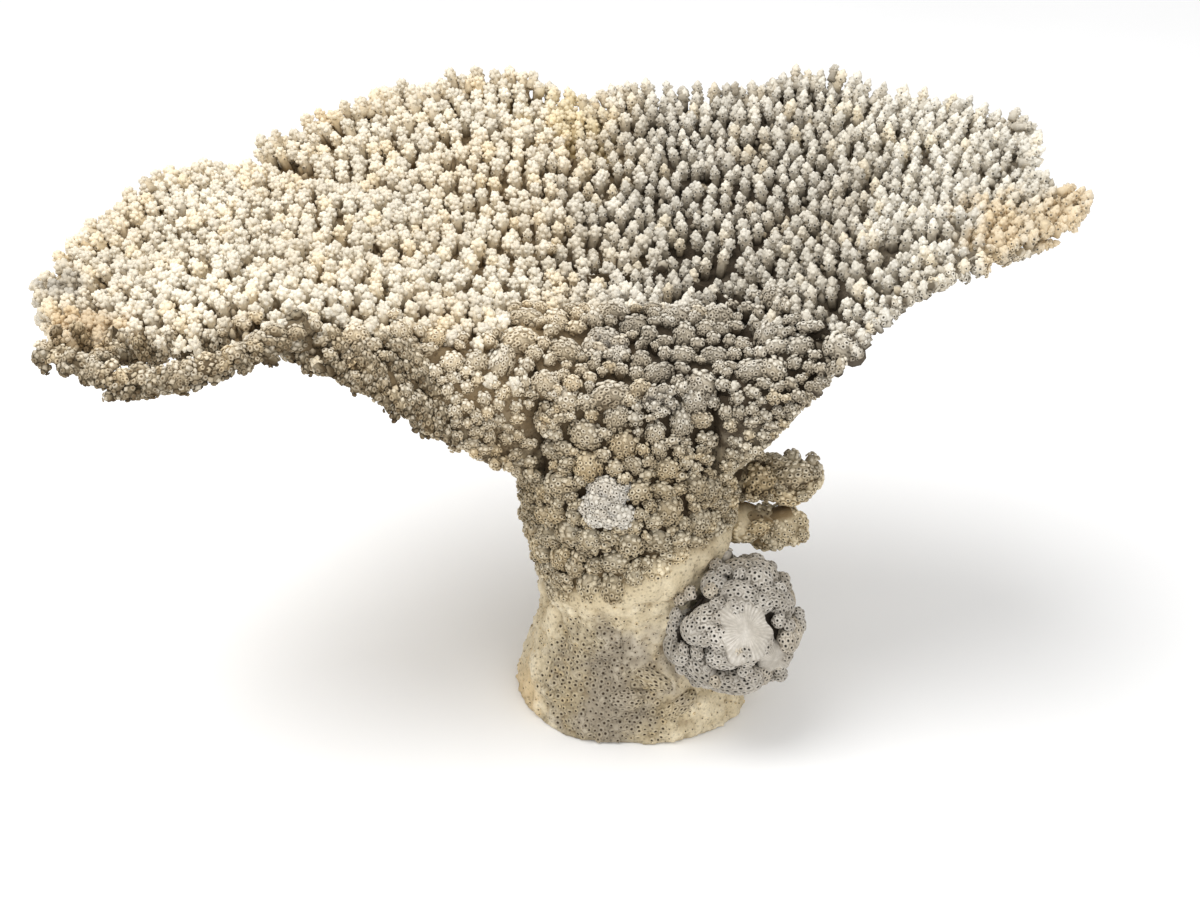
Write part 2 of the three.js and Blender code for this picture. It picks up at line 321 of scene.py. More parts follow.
def knob(radius, rng):
    """A rounded lump whose +X side looks up: closed pale buds there, and open cups on the rest. It is paler
    where it looks up, partly bleached and partly as painted light from above.
    """
    tall = rng.uniform(0.85, 1.1)
    middle = -radius * tall
    is_small = radius < SMALL_KNOB
    sides = 6 if is_small else 8
    rings = [(radius * 0.62, -max(KNOB_DEPTH, 2.2 * radius), 0, 0)]
    for latitude in np.radians((-30, 25) if is_small else (-38, 8, 50)):
        z = middle + radius * tall * 0.88 * math.sin(latitude)
        rings.append((radius * 0.9 * math.cos(latitude), z, 0, 0))
    lump = lathe(rings + [(0, -0.15 * radius, 0, 0)], sides)
    # Paler where the knob looks up, darker below: partly bleached tops, partly painted light from above and
    # painted shadow below.
    lump.values[:, HEIGHT] = 0.34 + 0.42 * upness(unit(lump.points - [0, 0, middle]))
    lump.values[:sides, HEIGHT] = 0
    parts = [lump]
    count = max(5, cup_count(radius, KNOB_COVER, CUP_SPACING))
    for direction in dome_directions(count, KNOB_COVER, rng):
        root = direction * radius * [0.93, 0.93, 0.93 * tall] + [0, 0, middle]
        size = CUP_SIZE * rng.uniform(0.88, 1.16)
        up = upness(direction)
        # The cups and buds take the same painted top light.
        height = 0.34 + 0.42 * up
        if up > rng.uniform(0.45, 0.85):
            bud = nub(size * 1.1, 0.85 * size, height - 0.08)
        else:
            bud = cup(size, rng.uniform(0.3, 0.6) * size, height)
        parts.append(bud.placed(root, direction + [0.12, 0, 0.12], rng.uniform(0, 6.3)))
    return joined(parts)


def boulder(radius, rng):
    """A smooth fused lump with low rings and pores."""
    tall = rng.uniform(0.8, 1.0)
    middle = -radius * tall
    latitudes = np.radians([-50, -15, 15, 42, 68])
    rings = [(radius * math.cos(a), middle + radius * tall * math.sin(a), 0, 0) for a in latitudes]
    lump = lathe(rings + [(0, 0, 0, 0)], 10)
    wobble = 1 + 0.07 * noise(lump.points + rng.uniform(0, 500, 3), radius)
    lump.points[:, :2] *= wobble[:, None]
    # Paler where the boulder looks up, darker below: partly bleached tops, partly painted light and shadow.
    lump.values[:, HEIGHT] = 0.34 + 0.5 * upness(unit(lump.points - [0, 0, middle]))
    parts = [lump]
    for direction in dome_directions(cup_count(radius, BOULDER_COVER, CRATER_SPACING), BOULDER_COVER, rng):
        root = direction * radius * [1, 1, tall] + [0, 0, middle]
        ring = crater(rng.uniform(0.9, 1.2))
        parts.append(ring.placed(root, direction + [0, 0, 0.1], rng.uniform(0, 6.3)))
    return joined(parts)


class Kit:
    """Ready-made variants of each growth, to be set in place."""

    def __init__(self, rng):
        self.rng = rng
        self.squat = [branchlet(SQUAT, rng) for _ in range(VARIANTS)]
        self.slim = [branchlet(SLIM, rng) for _ in range(VARIANTS)]
        self.knobs = {radius: [knob(radius, rng) for _ in range(5)] for radius in KNOB_RADII}
        self.boulders = {radius: [boulder(radius, rng) for _ in range(4)] for radius in SWELLINGS}

    def pick(self, shapes):
        return shapes[self.rng.integers(len(shapes))]

    def spin(self):
        return self.rng.uniform(0, FULL_TURN)

    def branchlet(self, tip, axis, size, length, tone):
        """Squat branchlets grow on the left, slim ones on the right, mixed along the middle."""
        slim = self.rng.random() < ease(AXIS_X - 45, AXIS_X + 25, tip[0])
        shape = shortened(self.pick(self.slim if slim else self.squat), length, size)
        return shape.tinted(tone).placed(tip, axis, self.spin(), size)

    def lump(self, shapes, tip, axis, radius, tone, pale=0.0, shade=0.0, wide=None, depth=UNCUT):
        """The ready knob or boulder nearest to this radius, brought to it and drawn out across or upwards.
        Below this depth it is pinched off."""
        nearest = min(shapes, key=lambda ready: abs(ready - radius))
        scale = radius / nearest
        shape = self.pick(shapes[nearest]).tinted(tone, pale, shade)
        wide = wide or self.rng.uniform(0.85, 1.3)
        shape.points = shape.points * [1.05 / wide, wide, 1]
        below = shape.points[:, 2] < -depth / scale
        shape.points[below] = shape.points[below] * [PINCH, PINCH, 0] + [0, 0, -depth / scale]
        return shape.placed(tip, axis, self.rng.normal(0, 0.35), scale)

    def knob(self, tip, axis, radius, tone, **looks):
        return self.lump(self.knobs, tip, axis, radius, tone, **looks)

    def rib(self, tip, axis, along, tone, **looks):
        """Two knobs run together into a short rib that runs this way along the surface."""
        parts = []
        for step in (-RIB_STEP, RIB_STEP):
            radius = self.rng.uniform(2.3, 3.2)
            parts.append(self.knob(tip + along * step, axis, radius, tone, wide=0.9, **looks))
        return joined(parts)

    def boulder(self, tip, axis, radius, tone, **looks):
        return self.lump(self.boulders, tip, axis, radius, tone, **looks)

    def cluster(self, tip, axis, radius, pale):
        """A low rounded heap of small knobs, whose top is at tip."""
        turn = turned(axis, 0)
        parts = []
        for direction in dome_directions(int(radius * 1.9), 0.95, self.rng):
            out = turn @ direction
            flat = turn @ (direction * [1, 1, 0.55])
            place = tip - unit(axis) * 0.55 * radius + flat * radius * self.rng.uniform(0.86, 1.06)
            size = radius * self.rng.uniform(0.25, 0.37)
            parts.append(self.knob(place, out + 0.3 * UP, size, self.rng.random(), pale=pale))
        return joined(parts)


# ---------------- asking the CAD solids

class Solid:
    """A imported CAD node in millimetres."""

    PROBE = Vector((0.12, 0.21, 0.97))  # a place is inside when a ray this way first meets a face from behind

    def __init__(self, name):
        mesh = frame["nodes"][name].data
        mesh.calc_loop_triangles()
        self.points = np.array([v.co for v in mesh.vertices]) / MM
        self.faces = np.array([t.vertices for t in mesh.loop_triangles])
        self.tree = BVHTree.FromPolygons(self.points.tolist(), self.faces.tolist())
        self.low, self.high = self.points.min(0), self.points.max(0)

    def distances(self, places):
        return np.array([self.tree.find_nearest(place)[3] for place in places])

    def holds(self, place):
        """Whether the solid has this place inside it."""
        if (place < self.low).any() or (place > self.high).any():
            return False
        hit, normal, _, _ = self.tree.ray_cast(place, self.PROBE)
        return hit is not None and normal.dot(self.PROBE) > 0


solids = {name: Solid(name) for name in frame["nodes"]}
ABOVE, BELOW, IN_FRONT = 400, -50, -300  # rays start at these Z and Y, past every solid


def front_of(name, across, up):
    """The place and normal on a solid's front, given as shares of the way across and up its box."""
    solid = solids[name]
    start = (mix(solid.low[0], solid.high[0], across), IN_FRONT, mix(solid.low[2], solid.high[2], up))
    hit, normal, _, _ = solid.tree.ray_cast(start, (0, 1, 0))
    return np.array(hit), np.array(normal)


class Envelope:
    """Asks the CAD fronds how high and how low the table reaches at a place."""

    CROSS = np.array([(0, 0), (1, 0), (-1, 0), (0, 1), (0, -1)])
    PAST_SLIT = 0.5  # a ray that falls between two fronds is tried again this far aside
    NEIGHBOURHOOD = 4.0

    def __init__(self, names):
        points, faces, owners, start = [], [], [], 0
        for k, name in enumerate(names):
            solid = solids[name]
            points.append(solid.points)
            faces.append(solid.faces + start)
            owners += [k] * len(solid.faces)
            start += len(solid.points)
        self.owners = owners
        self.tree = BVHTree.FromPolygons(np.concatenate(points).tolist(), np.concatenate(faces).tolist())

    def column(self, x, y):
        """(underside z, top z, owner) at a place, or None outside the table."""
        for dx, dy in self.CROSS * self.PAST_SLIT:
            top, _, face, _ = self.tree.ray_cast((x + dx, y + dy, ABOVE), (0, 0, -1))
            if top is not None:
                under = self.tree.ray_cast((x + dx, y + dy, BELOW), (0, 0, 1))[0]
                return under.z, top.z, self.owners[face]
        return None

    def normal(self, x, y):
        """The top's upward normal at a place, evened out over its neighbourhood."""
        total = np.zeros(3)
        for dx, dy in self.CROSS * self.NEIGHBOURHOOD:
            hit, normal, _, _ = self.tree.ray_cast((x + dx, y + dy, ABOVE), (0, 0, -1))
            if hit is not None and normal.z > 0.05:
                total += np.array(normal)
        return unit(total) if total.any() else UP


stem_low, stem_high = solids["stem"].low, solids["stem"].high
AXIS_X = (stem_low[0] + stem_high[0]) / 2
STEM_REACH = (stem_high[0] - stem_low[0]) / 2
ROOT_REACH = STEM_REACH - 7  # the fronds' bodies start inside the stem
SET_BACK = 10.5  # the body's upper face lies this far below the branchlets' tips
KNOB_SET_BACK = 5.0  # and this far below the knobs
THIN_SLAB = 4.0  # the table's body is never thinner than this
# Knobs replace branchlets where the surface's normal looks up less than this: near the stem, and further out
STEEP = (0.84, 0.68)
RIM_INSET = 4.5  # the fronds' bodies stay this far behind the rim
EDGE_INSET = 5.0  # the bodies of the front fronds stay this far behind their open faces
RAY_STEP = 0.5
RAY_TURN = math.radians(0.25)
EDGE_JUMP = math.radians(2.5)  # an edge that turns more than this between two reaches has ended
RIGHT_EDGE_REACH = 150  # how far from the stem's axis the edges of the open front are looked for
LEFT_EDGE_REACH = 196
RIM_REACH = 230  # the rim lies within this

table = Envelope(FRONDS)


def steep_limit(outness):
    """The upward share of the normal under which knobs grow, at a reach given as a share of the rim's."""
    return mix(*STEEP, ease(0.3, 0.55, outness))


def at(azimuth, reach):
    return AXIS_X + reach * math.cos(azimuth), reach * math.sin(azimuth)


def edge_azimuths(reaches, start, turn):
    """The azimuth of the table's front edge at each reach, found by turning in from the open front; past the
    edge's own rim it keeps its last value."""
    found = []
    for reach in reaches:
        azimuth = start
        while table.column(*at(azimuth, reach)) is None:
            azimuth += turn
        if found and abs(azimuth - found[-1]) > EDGE_JUMP:
            azimuth = found[-1]
        found.append(azimuth)
    return found


class Table:
    """The table as a sheet with s from the right front edge (0) to the left front edge (1) and t from the
    stem (0) to the rim (1)."""

    COLUMNS = 161
    ROWS = 46

    def __init__(self):
        self.reaches = np.arange(STEM_REACH + 1, RIM_REACH, 2.0)
        self.right = self.find_edge(RIGHT_EDGE_REACH, math.radians(-70), RAY_TURN)
        self.left = self.find_edge(LEFT_EDGE_REACH, math.radians(250), -RAY_TURN)
        self.shares = np.linspace(0, 1, self.COLUMNS)
        self.rims = np.array([self.find_rim(s) for s in self.shares])

    def find_edge(self, last_reach, start, turn):
        inner = self.reaches[self.reaches < last_reach]
        return np.interp(self.reaches, inner, edge_azimuths(inner, start, turn))

    def edges(self, reach):
        return np.interp(reach, self.reaches, self.right), np.interp(reach, self.reaches, self.left)

    def azimuth(self, s, reach, inset=0.0):
        right, left = self.edges(reach)
        return mix(right + inset / reach, left - inset / reach, s)

    def find_rim(self, s):
        s = min(max(s, 0.003), 0.997)
        reach = RIM_REACH - 2.0
        while table.column(*at(self.azimuth(s, reach), reach)) is None:
            reach -= RAY_STEP
        return reach

    def rim(self, s):
        return np.interp(s, self.shares, self.rims)

    def spot(self, s, t):
        """(x, y, underside z, top z, owner) of the envelope at a place on the sheet."""
        reach = mix(ROOT_REACH, self.rim(s) - RIM_INSET, t)
        inset = mix(3.0, EDGE_INSET, ease(0.05, 0.25, t))
        x, y = at(self.azimuth(s, reach, inset), reach)
        probe = max(reach, STEM_REACH + 1)
        inner = self.azimuth(s, probe, EDGE_INSET * 0.9)
        column = table.column(*at(inner, probe))
        while column is None:
            probe -= RAY_STEP
            column = table.column(*at(inner, probe))
        return x, y, *column

    def read(self, places):
        """For each place: its azimuth, its reach as a share of the rim's, and how far inside the open front
        edges it lies."""
        x, y = places[:, 0] - AXIS_X, places[:, 1]
        reach = np.maximum(np.hypot(x, y), 1.0)
        azimuth = (np.arctan2(y, x) + math.pi / 2) % (2 * math.pi) - math.pi / 2
        right, left = self.edges(reach)
        share = np.clip((azimuth - right) / (left - right), 0, 1)
        inside = np.minimum(azimuth - right, left - azimuth) * reach
        return azimuth, reach / self.rim(share), inside


sheet = Table()
RIM_THINNING = 1.2  # the table's body thins by this from above and from below at the rim
# How high up the skeleton the table's underside counts for its colour, beside the stem and further out
UNDERSIDE_HEIGHT = (0.2, 0.45)


def table_grid():
    """The slab's upper and lower grids of points, and the owner of each cell."""
    t_values = np.linspace(0, 1, sheet.ROWS)
    spots = [[sheet.spot(s, t) for t in t_values] for s in sheet.shares]
    grid = np.array([[spot[:4] for spot in row] for row in spots])
    owner = np.array([[spot[4] for spot in row] for row in spots])
    x, y, under, top = np.moveaxis(grid, 2, 0)
    t = np.broadcast_to(t_values, x.shape)
    slope = np.array([[table.normal(*place)[2] for place in row] for row in np.stack([x, y], 2)])
    _, outness, _ = sheet.read(np.column_stack([x.ravel(), y.ravel()]))
    limit = steep_limit(outness).reshape(x.shape)
    set_back = mix(KNOB_SET_BACK, SET_BACK, ease(limit - 0.1, limit + 0.06, slope)) / np.maximum(slope, 0.6)
    upper = np.stack([x, y, under + np.maximum(THIN_SLAB, top - under - set_back)], 2)
    lower = np.stack([x, y, under + 0.5], 2)
    azimuth, reach = np.arctan2(y, x - AXIS_X), np.hypot(x - AXIS_X, y)
    rib_place = np.stack([azimuth * 45, reach / 14, np.zeros_like(reach)], 2)
    ribs = noise(rib_place, (1.0, 2.6, 1), 5) + 0.5 * noise(rib_place, (0.5, 1.4, 1), 6)
    lower[..., 2] += 1.8 * (ribs + 0.6) * ease(0, 0.15, t) + 0.7 * noise(lower, 9, 7)
    upper[..., 2] += 1.1 * noise(upper, 5, 8)
    upper[:, -1, 2] -= RIM_THINNING
    lower[:, -1, 2] += RIM_THINNING
    return upper, lower, owner


def slab(owner_index, upper, lower, owner):
    """The closed body of one frond, from the cells of the grid that it owns."""
    cells = owner[:-1, :-1] == owner_index
    rows = upper.shape[1]
    number = np.arange(upper.shape[0] * rows).reshape(upper.shape[:2])
    below = number + number.size
    i, j = np.nonzero(cells)
    corners = [(i, j), (i + 1, j), (i + 1, j + 1), (i, j + 1)]
    quads = [np.stack([number[c] for c in corners], 1)[:, ::-1], np.stack([below[c] for c in corners], 1)]
    padded = np.pad(cells, 1)
    steps = [(0, -1), (1, 0), (0, 1), (-1, 0)]  # to the cell across each side
    for first, (di, dj) in enumerate(steps):
        outside = ~padded[i + 1 + di, j + 1 + dj]
        a, b = corners[first], corners[(first + 1) % 4]
        a = (a[0][outside], a[1][outside])
        b = (b[0][outside], b[1][outside])
        quads.append(np.stack([number[a], number[b], below[b], below[a]], 1))
    quads = np.concatenate(quads)
    faces = np.concatenate([quads[:, [0, 1, 2]], quads[:, [0, 2, 3]]])
    # The slab's upper face has height 0 and takes the gap colour: partly painted shadow under the branchlets.
    whole = body_of(np.concatenate([upper.reshape(-1, 3), lower.reshape(-1, 3)]), faces, 0.0)
    t = np.broadcast_to(np.linspace(0, 1, rows), upper.shape[:2])
    whole.values[number.size:, HEIGHT] = mix(*UNDERSIDE_HEIGHT, ease(0.22, 0.5, t).ravel())
    used = np.unique(faces)
    renumber = np.zeros(len(whole.points), int)
    renumber[used] = np.arange(len(used))
    return Shape(whole.points[used], renumber[faces], whole.values[used])


# ---------------- spreading growths over the solids

def double_areas(points, triangles):
    """For each triangle: its first corner, its two sides from there, their cross product and its length."""
    a, b, c = (points[triangles[:, k]] for k in range(3))
    cross = np.cross(b - a, c - a)
    return a, b - a, c - a, cross, np.linalg.norm(cross, axis=1)


def surface_samples(points, triangles, tries, rng):
    """Random places on a surface, with their normals."""
    corner, first, second, cross, area = double_areas(points, triangles)
    pick = rng.choice(len(area), tries, p=area / area.sum())
    u, v = rng.random((2, tries))
    flip = u + v > 1
    u, v = np.where(flip, 1 - u, u), np.where(flip, 1 - v, v)
    places = corner[pick] + first[pick] * u[:, None] + second[pick] * v[:, None]
    return places, unit(cross[pick])


def surface_area(points, triangles):
    return double_areas(points, triangles)[-1].sum() / 2


class Packing:
    """Keeps balls apart, by looking at those in the cells round each new one."""

    CELL = 10.0
    NEIGHBOURS = [(i, j, k) for i in (-1, 0, 1) for j in (-1, 0, 1) for k in (-1, 0, 1)]

    def __init__(self):
        self.cells = {}

    def add(self, place, radius):
        home = tuple(int(c // self.CELL) for c in place)
        self.cells.setdefault(home, []).append((*place, radius))

    def is_free(self, place, radius):
        x, y, z = place
        i, j, k = (int(c // self.CELL) for c in place)
        for di, dj, dk in self.NEIGHBOURS:
            for px, py, pz, other in self.cells.get((i + di, j + dj, k + dk), ()):
                if (px - x) ** 2 + (py - y) ** 2 + (pz - z) ** 2 < (radius + other) ** 2:
                    return False
        return True

    def take(self, place, radius):
        """Adds a ball if it is free of the others, and says whether it was."""
        free = self.is_free(place, radius)
        if free:
            self.add(place, radius)
        return free


def scattered(points, triangles, gap, rng, keep):
    """Evenly spread places on the part of a surface to keep, with their normals."""
    tries = int(surface_area(points, triangles) / gap**2 * TRIES_PER_GAP)
    places, normals = surface_samples(points, triangles, tries, rng)
    wanted = keep(places, normals)
    places, normals = places[wanted], normals[wanted]
    packing = Packing()
    chosen = [k for k, place in enumerate(places) if packing.take(place, gap / 2)]
    return places[chosen], normals[chosen]


# ---------------- what grows over the table and the stem

LIP_GREY_AND_SHADE = 0.95  # how grey the table's left front edge and the ledge are, partly as painted shading
TRIES_PER_MM2 = 0.85  # random places tried for the cover of the solids
TRIES_PER_GAP = 5.0  # and for craters, in each square as wide as their gap
BRANCHLET_GAPS = (2.05, 2.55)  # half the least and the most distance between branchlets
# Radii of knobs, and how many of the tries are for each: the big ones are set first, so they are rare
KNOB_MIX = [1.9, 2.5, 3.25, 4.15, 5.2, 6.5]
KNOB_TRIES = [0.25, 0.672, 0.033, 0.025, 0.015, 0.005]
KNOB_SQUEEZE = 0.83  # neighbouring knobs grow together a little
CROWN_FRONT = 6  # knobs cover the stem's crown as far back as this Y
BESIDE_STEM = 0.36  # and the fronds' sides this near to the stem, as a share of the way to the rim
HANGING_KNOB = 2.2  # knobs under and along the open edges, and among branchlets, are no bigger than this
WALL = 0.15  # faces that look up less than this are slits between the fronds, unless they are at the front
HANGING = -0.3  # faces that look up less than this hang
FLAT_MARGIN = (-0.06, 0.05)  # from here on past the steep limit knobs are small, and then left out
OPEN_FACE = 16  # knobs also cover the underside this near to the open front
FURROW_PLACE = 40  # furrows run outwards mostly to the right of the middle, this many degrees round the stem
DEEPEST_FURROW = 6.0


class Spots:
    """Random places over the outside of a covered solid, and how the coral grows at each."""

    def __init__(self, name, rng):
        solid = solids[name]
        tries = int(surface_area(solid.points, solid.faces) * TRIES_PER_MM2)
        places, facing = surface_samples(solid.points, solid.faces, tries, rng)
        if name in FRONDS:
            _, outness, inside = sheet.read(places)
            between = (facing[:, 2] < WALL) & (outness < 0.85) & (inside > OPEN_FACE)
            on_top = ~between & (facing[:, 2] > HANGING - 0.05)
            beside_stem = (outness < BESIDE_STEM) & (places[:, 1] < CROWN_FRONT)
            wanted = on_top | (inside < OPEN_FACE) | beside_stem
            places, facing = places[wanted], facing[wanted]
        self.places, self.facing, self.name = places, facing, name
        self.azimuth, self.outness, self.inside = sheet.read(places)
        count = len(places)
        up = facing[:, 2]
        steep = steep_limit(self.outness) + 0.03 * rng.normal(size=count)
        self.kind = np.where(up < steep, "knob", "branchlet")
        far = mix(1.0, 0.72, ease(0.4, 1, self.outness)) * rng.uniform(0.92, 1.08, count)
        knobs = rng.choice(KNOB_MIX, count, p=KNOB_TRIES) * far * KNOB_SQUEEZE
        self.radius = np.where(self.kind == "knob", knobs, mix(*BRANCHLET_GAPS, rng.random(count)))
        if name == "stem":
            self.set_kind(places[:, 1] < CROWN_FRONT, "knob", knobs)
            self.radius[near_foot(places) < 0] = 0
        if name in SIDE_BRANCHES:
            self.kind[:] = "knob"
            self.radius = rng.choice([2.2, 3.2, 4.4, 5.8], count, p=[0.88, 0.05, 0.04, 0.03])
        if name in FRONDS:
            self.limit_knobs(up, steep)
            shoulder = (self.kind == "knob") & (up > 0.5) & (self.outness > 0.45) & (self.inside > 9)
            self.set_kind(shoulder, "rim", 2.2)
            self.set_kind((up < 0.4) & (self.outness > 0.9), "rim", 2.3)
        if name == LEDGE:
            self.kind[:] = "ledge"
            self.radius = rng.choice([1.7, 2.5], count, p=[0.93, 0.07])
        if name == LEFT_LIP:
            self.set_kind((up < 0.5) & (self.outness > 0.38) & (self.inside < 11), "rib", 2.3)

    def set_kind(self, where, kind, radius):
        self.kind[where] = kind
        self.radius[where] = np.broadcast_to(radius, where.shape)[where]

    def limit_knobs(self, up, steep):
        """Keeps the knobs of a frond small where they hang, and along its edges and slits."""
        for k in np.nonzero((self.kind == "knob") & (up >= HANGING))[0]:
            over = table.normal(*self.places[k, :2])[2] - steep[k]
            if over > FLAT_MARGIN[1] and self.inside[k] > OPEN_FACE:
                self.radius[k] = 0  # the side of a slit in the flat part of the table
            if over > FLAT_MARGIN[0] or self.inside[k] < EDGE_INSET + 2:
                self.radius[k] = min(self.radius[k], HANGING_KNOB)
        self.radius = np.where(up < HANGING, np.minimum(self.radius, HANGING_KNOB), self.radius)


def near_foot(places):
    """How far places on the stem are above the smooth skin that climbs onto it from the foot, and climbs most
    on its right."""
    skin = mix(0.5, 11.0, ease(stem_low[0], stem_high[0], places[:, 0]))
    return solids["foot"].distances(places) - skin - 2.2 * noise(places, 9, 61)


COVER_GAP = 0.8  # a place is buried when another solid reaches this far in front of it


def is_buried(place, normal, name):
    """Whether another solid covers this place. The ledge's cut ends are covered with knobs all the same."""
    if name == LEDGE:
        return False
    outside = place + normal * COVER_GAP
    return any(solid.holds(outside) for other, solid in solids.items() if other != name)


def furrow_depth(azimuth, reach):
    """How deep in a furrow a place lies, from 0 to 1. Furrows are narrow and run outwards."""
    lane = noise([azimuth * 60, reach / 9, 0], (4.5, 4.0, 1), 31)
    return float(ease(0.1, 0.4, lane - 0.7 * abs(math.degrees(azimuth) - FURROW_PLACE) / 90))


def thickness(place):
    """How thick the table is at a place, or without limit outside it."""
    column = table.column(place[0], place[1])
    return math.inf if column is None else column[1] - column[0]


def grow_spot(spots, k, kit):
    """The branchlet, knob or rib for one place."""
    rng = kit.rng
    place, normal, kind, radius = spots.places[k], spots.facing[k], spots.kind[k], spots.radius[k]
    tone = rng.random()
    azimuth = spots.azimuth[k]
    outward = np.array([math.cos(azimuth), math.sin(azimuth), 0])
    depth = UNCUT  # but where the table hangs, roots are pinched off before they come out on its other side
    if spots.name in FRONDS and normal[2] < -HANGING:
        depth = mix(THIN_DEPTH, KNOB_DEPTH, float(ease(HANGING, -HANGING, normal[2])))
    if kind == "knob":
        axis = normal + 0.25 * UP + rng.normal(0, 0.12, 3)
        sunk = rng.uniform(-2.2, 1.0) if spots.name in SIDE_BRANCHES else rng.uniform(-0.3, 1.2)
        return kit.knob(place - normal * sunk, axis, radius / KNOB_SQUEEZE, tone, depth=max(depth, radius))
    # Faces that look down or forward get more of this: partly the edge's greyer colour, partly painted
    # shadow, less where they look up.
    shade = LIP_GREY_AND_SHADE * mix(1.0, 0.35, float(ease(0.1, 0.7, normal[2])))
    if kind == "rib":
        along = UP + 0.5 * outward
        along = unit(along - normal * (along @ normal))
        tip = place - normal * rng.uniform(-0.8, 1.4)
        return kit.rib(tip, normal + 0.4 * UP + rng.normal(0, 0.12, 3), along, tone, shade=shade, depth=depth)
    if kind == "ledge":
        axis = normal + 0.35 * UP + rng.normal(0, 0.2, 3)
        tip = place - normal * rng.uniform(-1.0, 1.8)
        return kit.knob(tip, axis, radius * rng.uniform(1.15, 1.5), tone, shade=shade, depth=THIN_DEPTH)
    if kind == "rim":
        axis = normal + UP * rng.uniform(0.2, 0.9) + rng.normal(0, 0.14, 3)
        tip = place + normal * rng.uniform(-1.5, 0.6)
        length = RIM_BRANCHLET
        if normal[2] > 0.3:
            length = min(length, thickness(place - 2 * normal) - 1.0)
        return kit.branchlet(tip, axis, rng.uniform(0.75, 0.98), length, tone).lifted(0.35)
    even = table.normal(place[0], place[1]) if spots.name in FRONDS else normal
    lean = 0.04 + 0.5 * float(ease(0.78, 1.0, spots.outness[k]))
    axis = UP + 0.5 * (even - UP) + outward * lean + rng.normal(0, 0.1, 3)
    length = SET_BACK + 2.0
    if spots.name in FRONDS:
        length = min(length, thickness(place) - 1.5)
    reach = math.hypot(place[0] - AXIS_X, place[1])
    sunk = rng.gamma(1.4, 0.8) + 4.5 * furrow_depth(azimuth, reach)
    tip = place - UP * min(sunk, DEEPEST_FURROW)
    return kit.branchlet(tip, axis, rng.uniform(0.84, 1.14), length, tone)


# Landmark heaps of small knobs on the stem's front: share of the way across and up it, radius, paleness
CLUSTERS = [
    (0.40, 0.47, 11.5, 0.8),
    (0.40, 0.93, 9.0, 0.35),
    (0.62, 0.80, 7.0, 0.2),
    (0.16, 0.72, 7.5, 0.1),
    (0.78, 0.60, 6.5, 0.0),
]


def grow_clusters(packing, kit):
    parts = []
    for across, up, radius, pale in CLUSTERS:
        place, normal = front_of("stem", across, up)
        packing.add(place, radius * 0.8)
        parts.append(kit.cluster(place + normal * 1.5, normal + 0.1 * UP, radius, pale))
    return parts


def grow_cover(kit):
    """Everything that grows on the covered solids, as a list of shapes for each. Big growths come first."""
    packing = Packing()
    heaps = {name: [] for name in COVERED}
    heaps["stem"] += grow_clusters(packing, kit)
    groups = [Spots(name, kit.rng) for name in COVERED]
    order = [(-spots.radius[k], g, k) for g, spots in enumerate(groups) for k in range(len(spots.places))]
    for negative, g, k in sorted(order):
        spots, radius = groups[g], -negative
        place, normal = spots.places[k], spots.facing[k]
        if radius > 0 and packing.is_free(place, radius) and not is_buried(place, normal, spots.name):
            packing.add(place, radius)
            heaps[spots.name].append(grow_spot(spots, k, kit))
    return heaps


def spread(heaps, face, owner, side, gap, tries, shapes, scales, kit, span=(0.06, 1), front=-math.inf):
    """Spreads small shapes over one face of the table's slab; side is 1 for the upper face, -1 for the lower.
    The span is the squares of the shares of its reach where they start and end; front is their least Y."""
    rng = kit.rng
    s_count, t_count = owner.shape
    i = rng.integers(0, s_count - 1, tries)
    outwards = np.sqrt(rng.uniform(*span, tries))
    j = np.minimum((outwards * (t_count - 1)).astype(int), t_count - 2)
    corner, across, along = face[i, j], face[i + 1, j], face[i, j + 1]
    u, v = rng.random((2, tries, 1))
    places = corner + u * (across - corner) + v * (along - corner)
    normals = unit(np.cross(along - corner, across - corner))
    normals *= side * np.sign(normals[:, 2:3])
    packing = Packing()
    for k, place in enumerate(places):
        if place[1] > front and packing.take(place, gap / 2):
            one = kit.pick(shapes).tinted(rng.random())
            heap = heaps[FRONDS[owner[i[k], j[k]]]]
            heap.append(one.placed(place, normals[k], kit.spin(), rng.uniform(*scales)))


# ---------------- bodies made from CAD solids

def add_object(name, data):
    made = bpy.data.objects.new(name, data)
    bpy.context.scene.collection.objects.link(made)
    return made


def remeshed(name, voxel, smooth=6):
    """A fine, even copy of a CAD solid, in millimetres: (points, triangles, normals)."""
    solid = solids[name]
    mesh = bpy.data.meshes.new("work")
    mesh.from_pydata((solid.points * MM).tolist(), [], solid.faces.tolist())
    work = add_object("work", mesh)
    remesh = work.modifiers.new("remesh", "REMESH")
    remesh.mode = "VOXEL"
    remesh.voxel_size = voxel * MM
    soften = work.modifiers.new("soften", "SMOOTH")
    soften.factor = 0.5
    soften.iterations = smooth
    done = bpy.data.meshes.new_from_object(work.evaluated_get(bpy.context.evaluated_depsgraph_get()))
    done.calc_loop_triangles()
    points = np.array([v.co for v in done.vertices]) / MM
    normals = np.array([v.normal for v in done.vertices])
    triangles = np.array([t.vertices for t in done.loop_triangles])
    bpy.data.objects.remove(work)
    bpy.data.meshes.remove(done)
    return points, triangles, normals


